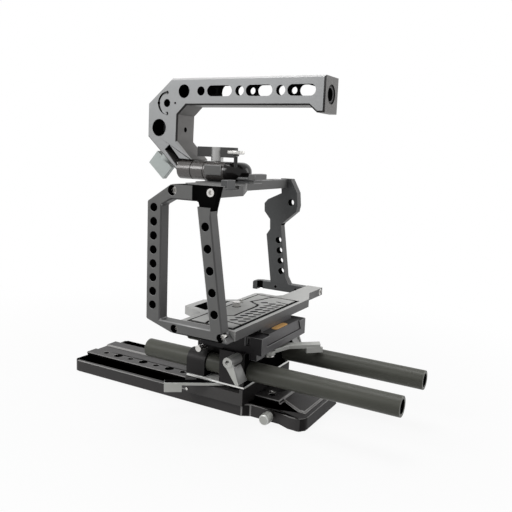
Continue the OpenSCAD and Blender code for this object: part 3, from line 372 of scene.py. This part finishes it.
# Its holes and its faces that look forward or down are painted black as shade, and its broken edges paler as a
# highlight.
dress("rod_block", block_black, block_edge_highlight, width=0.0007, hole=painted_shade_black, side=painted_shade_black)
dress("block_screws", bright_steel, width=0.0003)
for flank in ("near", "far"):
    dress(flank + "_rod_lever", pale_alloy, alloy_edge, width=0.0006, hole_width=0.0003, steps=2,
          side=alloy_side_shade)

# Rods: hollow aluminium tubes, anodised a dark olive, with a turned edge at each end.
# Each lies in its collar and jaw and can be pushed along them.
rod_olive = anodised("rod_olive", (0.072, 0.073, 0.062), 0.38, metal=0.0, mottle=0.22, blast=0.6, gleam=0.15)
rod_edge_highlight = anodised("rod_edge_highlight", (0.16, 0.16, 0.14), 0.34, metal=0.3)
# Their bores are painted black as shade, and their broken edges paler as a highlight.
for flank in ("near", "far"):
    dress(flank + "_rod", rod_olive, rod_edge_highlight, width=0.0004, hole_width=0.0004, hole=painted_shade_black)

# Receiver: the dark grey block of the quick release, milled with a slideway and screwed on the rod block.
# Its pale lever turns on a steel pivot under the front, and a sprung steel pin sits at its near side.
receiver_grey = anodised("receiver_grey", (0.016, 0.015, 0.016), 0.42, gleam=0.15)
# The receiver's faces that look forward or down get this paler grey, painted light; the quick release plate's get
# it too.
receiver_lit_side = anodised("receiver_lit_side", (0.105, 0.102, 0.105), 0.42)
dress("receiver", receiver_grey, clamp_edge_highlight, width=0.0006, side=receiver_lit_side)
dress("receiver_screws", bright_steel, width=0.0003)
dress("qr_lever", pale_alloy, alloy_edge, width=0.0005, hole_width=0.0003, steps=2)
dress("qr_pivot", bright_steel, width=0.0003)
dress("lock_pin", bright_steel, width=0.0006, hole_width=0.0005, steps=2)

# Quick release plate: black anodised and screwed under the cage, where it slides in the receiver.
# A long gold inlay lies in its front lip.
# Its faces that look forward or down are painted paler as light, and its broken edges paler as a highlight.
dress("qr_plate", block_black, block_edge_highlight, width=0.0004, side=receiver_lit_side)
dress("qr_screws", bright_steel, width=0.0003)
gold = anodised("gold_inlay", (0.62, 0.34, 0.10), 0.34, metal=0.4, mottle=0.1)
dress("front_inlay", gold, width=0.0002)

# Bottom plate of the cage: milled aluminium, light grey, with a darker copy painted as shade on its faces that
# look forward or down.
# Its window is painted black as shade, and its broken edges paler as a highlight.
# It carries the camera's screw and a small locating pin, both of turned steel.
deck_grey = anodised("deck_grey", (0.40, 0.40, 0.39), 0.45)
deck_edge_highlight = anodised("deck_edge_highlight", (0.50, 0.50, 0.49), 0.36)
deck_side_shade = anodised("deck_side_shade", (0.085, 0.084, 0.084), 0.42)
deck_window = ((6.2, 20.9), (-27.2, 11.7), (69, 75.9))
dress("bottom_plate", deck_grey, deck_edge_highlight, width=0.0006,
      hole=painted_shade_black, side=deck_side_shade, hollows=[deck_window])
dress("camera_screw", bright_steel, width=0.0005, hole_width=0.0005)
dress("locating_pin", bright_steel, width=0.0004, hole_width=0.0004)


# Camera pad: a moulded sheet let into the bottom plate, light grey on its raised top.
# Its outlines and the two rows of grip pockets are grooves, whose floors are painted black as shade.
def near_lines(x, y, lines):
    """Distance in mm from each point to the nearest of the straight lines from point to point."""
    nearest = np.full(x.shape, 1e3)
    for (x0, y0), (x1, y1) in lines:
        run, rise = x1 - x0, y1 - y0
        along = np.clip(((x - x0) * run + (y - y0) * rise) / (run ** 2 + rise ** 2), 0, 1)
        nearest = np.minimum(nearest, np.hypot(x - x0 - along * run, y - y0 - along * rise))
    return nearest


def moulded_pad(name, low, high, counts, lines, pockets, holes):
    """A closed sheet whose top is a height over a grid of x and y.

    The height falls down a short wall from the raised top to the groove floor where a point is
    nearer than half a groove to a line, or than half a pocket to a pocket's short middle line. It is
    lowest in the holes, and rounds off a little at the sheet's edge. Lengths in millimetres.
    """
    half_groove, half_pocket, wall, depth, hole_floor = 0.85, 1.65, 0.25, 1.1, 0.12
    edge_drop, edge_round = 0.15, 0.4
    x_steps, y_steps = (np.linspace(low[k], high[k], counts[k]) for k in (0, 1))
    x, y = np.meshgrid(x_steps, y_steps, indexing="ij")
    groove = np.clip((near_lines(x, y, lines) - half_groove) / wall, 0, 1)
    pocket = np.clip((near_lines(x, y, pockets) - half_pocket) / wall, 0, 1)
    z = high[2] - depth * (1 - groove * pocket)
    for hole_x, hole_y, hole_r in holes:
        z = np.where(np.hypot(x - hole_x, y - hole_y) < hole_r, low[2] + hole_floor, z)
    from_edge = np.minimum(np.minimum(y - low[1], high[1] - y), np.minimum(x - low[0], high[0] - x))
    z = z - edge_drop * np.clip(1 - from_edge / edge_round, 0, 1)
    top = np.stack([x, y, z], -1).reshape(-1, 3)
    number = np.arange(len(top)).reshape(counts)
    rim = np.concatenate([number[:-1, 0], number[-1, :-1], number[:0:-1, -1], number[0, :0:-1]])
    under = top[rim] * (1, 1, 0) + (0, 0, low[2])
    foot = len(top) + np.arange(len(rim))
    across = [number[:-1, :-1], number[1:, :-1], number[1:, 1:], number[:-1, 1:]]
    faces = np.stack(across, -1).reshape(-1, 4).tolist()
    faces += np.stack([np.roll(rim, -1), rim, foot, np.roll(foot, -1)], -1).tolist()
    mesh = bpy.data.meshes.new(name)
    mesh.from_pydata((np.concatenate([top, under]) * 0.001).tolist(), [], faces + [foot[::-1].tolist()])
    mesh.shade_smooth()
    mesh.set_sharp_from_angle(angle=math.radians(35))
    sheet = bpy.data.objects.new(name, mesh)
    bpy.context.scene.collection.objects.link(sheet)
    return sheet


def path_lines(*points):
    """The straight lines that join the points in turn."""
    return list(zip(points[:-1], points[1:]))


pad_lines = path_lines((28, 17.5), (28, 45.6), (66.2, 45.6), (66.2, -59.4), (28, -59.4), (28, 5))
pad_lines += path_lines((43, -59.4), (41.4, -53.1), (41.6, -42), (43.2, -32.1), (48.1, -28.3), (47.8, 7.0),
                        (46.6, 12.5), (36.0, 19.3), (39.9, 31.6), (41.4, 39.9), (45, 45.6))
pad_lines += path_lines((51.4, -45.3), (66.2, -47.3)) + path_lines((54.4, 31.9), (66.2, 29.7))
pitch, row_length = 7.7, 9
row_starts = ((54.5, -39), (61.3, -38.4))
grip_middles = [(row_x, row_y + pitch * k) for row_x, row_y in row_starts for k in range(row_length)]
grip_middles += [(47.2, 22.6)]
grip_pockets = [((x - 1.1, y - 1.0), (x + 1.1, y + 1.0)) for x, y in grip_middles]
camera_screw_hole, pin_hole = (35.0, -3.0, 3.6), (31.0, 11.0, 1.8)
pad = moulded_pad("moulded_pad", low=(27.0, -60.5, 75.2), high=(67.0, 48.5, 76.6), counts=(113, 304),
                  lines=pad_lines, pockets=grip_pockets, holes=[camera_screw_hole, pin_hole])
pad_skin = bpy.data.materials.new("pad_skin")
pad_skin.use_nodes = True
bench = Bench(pad_skin.node_tree)
spot = bench.put("ShaderNodeTexCoord", out="Object")
height = bench.put("ShaderNodeSeparateXYZ", {}, {0: spot}, out=2)
# Below this height, in the grooves, pockets and holes, the pad is painted black as shade; above it, light grey.
painted_shade_below, light_above = 0.07625, 0.0764
raised = bench.put("ShaderNodeMapRange", {"interpolation_type": "SMOOTHSTEP"}, {
    0: height, 1: painted_shade_below, 2: light_above, 3: 0.0, 4: 1.0})
grain = bench.put("ShaderNodeTexNoise", {}, {"Vector": spot, "Scale": 300.0, "Detail": 3.0})
grit = bench.put("ShaderNodeTexNoise", {}, {"Vector": spot, "Scale": 2400.0, "Detail": 2.0})
light_grey = bench.blend(grain, (0.38, 0.38, 0.37), (0.48, 0.48, 0.47))
bump = bench.put("ShaderNodeBump", {}, {"Strength": 0.5, "Distance": 0.00008, "Height": grit})
shell = bench.put("ShaderNodeBsdfPrincipled", {}, {
    "Base Color": bench.blend(raised, (0.003, 0.003, 0.003), light_grey),
    "Roughness": raised * -0.05 + 0.50 + grain * 0.06, "Specular IOR Level": 0.05, "Normal": bump})
bench.put("ShaderNodeOutputMaterial", {}, {"Surface": shell})
pad.data.materials.append(pad_skin)
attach(pad, body_of_node("camera_pad"))
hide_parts("camera_pad")

# Side panels and top plate: bead-blasted grey anodised frames, darker on the far side.
# Bright socket screws in deep counterbores hold them to each other and to the bottom plate.
cage_grey = anodised("cage_grey", (0.112, 0.112, 0.110), 0.46)
cage_edge_highlight = anodised("cage_edge_highlight", (0.24, 0.24, 0.24), 0.38)
cage_side_shade = anodised("cage_side_shade", (0.085, 0.084, 0.084), 0.44)
far_grey = anodised("far_grey", (0.075, 0.077, 0.078), 0.44)
# The recess at the near panel's upper front corner and the panels' holes are painted black as shade. The near
# panel's faces that look forward or down, and its broken edges there, get a darker grey painted as shade, and the
# far panel's such faces get that same grey. Broken edges elsewhere are painted paler as a highlight.
corner_recess = ((38, 60.2), (-73.6, -66.4), (162, 178.5))
dress("near_panel", cage_grey, cage_edge_highlight, width=0.0009, hole=painted_shade_black, side=cage_side_shade,
      dim=cage_side_shade, hollows=[corner_recess], clamp=False, sunk_width=0.0)
dress("far_panel", far_grey, clamp_edge_highlight, width=0.0008, hole=painted_shade_black, side=cage_side_shade)
dress("top_plate", cage_grey, cage_edge_highlight, width=0.0008, hole=painted_shade_black)
for screws in ("deck_screws", "roof_screws", "rail_arm_screw", "far_roof_screw", "rail_screws"):
    dress(screws, bright_steel, width=0.0003)

# Accessory rail: a dark anodised rail screwed on the top plate, with a key in the plate's notch under it.
# A small grey stop is fixed at its front end.
dress("rail_key", far_grey, clamp_edge_highlight, width=0.0003)
dress("top_rail", far_grey, clamp_edge_highlight, width=0.0003)
dress("rail_stop", cage_grey, cage_edge_highlight, width=0.0005)

# Handle foot: a warm black anodised barrel with a raised grey pad, which clamps on the rail.
# Its round nose is polished black and held by two dowels.
foot_black = anodised("foot_black", (0.062, 0.056, 0.053), 0.26, metal=0.2, gleam=0.9)
foot_edge_highlight = anodised("foot_edge_highlight", (0.14, 0.13, 0.12), 0.28, metal=0.5)
gloss_black = anodised("gloss_black", (0.006, 0.005, 0.005), 0.18, metal=0.0, mottle=0.05, blast=0.05, gleam=0.25)
# The foot's broken edges are painted paler as a highlight.
dress("handle_foot", foot_black, foot_edge_highlight, width=0.0006, hole_width=0.0003)
dress("foot_pad", cage_grey, cage_edge_highlight, width=0.0005)
dress("foot_cap", gloss_black, width=0.0004, hole_width=0.0002)
dress("cap_dowels", bright_steel, width=0.0003)

# Knobs on the foot: a dark wing knob with a bright turned hub, which tightens the foot on the rail.
# The small thumb screw has a knurled steel head on a dark stem.
knob_grey = anodised("knob_grey", (0.042, 0.042, 0.042), 0.36, metal=0.2)
hub_steel = anodised("hub_steel", (0.38, 0.38, 0.375), 0.24, metal=0.6, mottle=0.06, blast=0.15, gleam=0.6)
knob_hub = ((4.9, 15.3), (-5.2, 5.2), (190, 204.0))
dress("wing_knob", knob_grey, clamp_edge_highlight, width=0.0007, hole_width=0.0004, steps=2,
      hole=hub_steel, hollows=[knob_hub])
thumb_stem = ((30.9, 36.3), (-12.7, -7.3), (180, 199.1))
dress("thumb_screw", bright_steel, width=0.0006, hole_width=0.0003, steps=2,
      hole=dark_sleeve, hollows=[thumb_stem])
knurled_band("thumb_knurl", "thumb_screw", bright_steel, (33.6, -10.0, 199.5), [0, 1, 2],
             outer=6.5, length=2.1, ridges=34)

# Handle: one milled frame, light grey anodised, screwed on the foot, with a dark ring in its front end.
# Its near edges are chamfered, painted pale on top as a highlight and nearly black underneath and in front as
# shade.
# Its faces that look forward or down are painted darker as shade, and its grip slots and arm pocket black as
# shade.
handle_grey = anodised("handle_grey", (0.30, 0.305, 0.308), 0.44)
grip_slots = ((-22, 100), (-11.4, 11.4), (237.5, 254.5))
arm_pocket = ((-60, -8), (-11.4, -0.5), (186, 214.5))
handle_edge_highlight = anodised("handle_edge_highlight", (0.42, 0.42, 0.42), 0.38)
handle_side_shade = anodised("handle_side_shade", (0.16, 0.155, 0.15), 0.44)
handle_edge_shade = anodised("handle_edge_shade", (0.018, 0.017, 0.017), 0.44)
dress("handle", handle_grey, handle_edge_highlight, width=0.0012, hole_width=0.0, hole=painted_shade_black,
      side=handle_side_shade, dim=handle_edge_shade, hollows=[grip_slots, arm_pocket], clamp=False, sunk_width=0.0,
      sharp_past=-0.009)
dress("handle_screws", bright_steel, width=0.0003)
dress("grip_insert", black_shade_and_ring, clamp_edge_highlight, width=0.0005, hole_width=0.0005, hole=painted_shade_black)

# Wing screw on the rear arm: cast alloy with a pale greenish grey finish, and a flat wing to turn it by.
# It is screwed into the arm from behind.
wing_pale = anodised("wing_pale", (0.36, 0.39, 0.38), 0.38, metal=0.35, mottle=0.05, gleam=0.4)
# Its broken edges are painted paler as a highlight.
dress("handle_wing", wing_pale, alloy_edge, width=0.0008, hole_width=0.0003, steps=2)
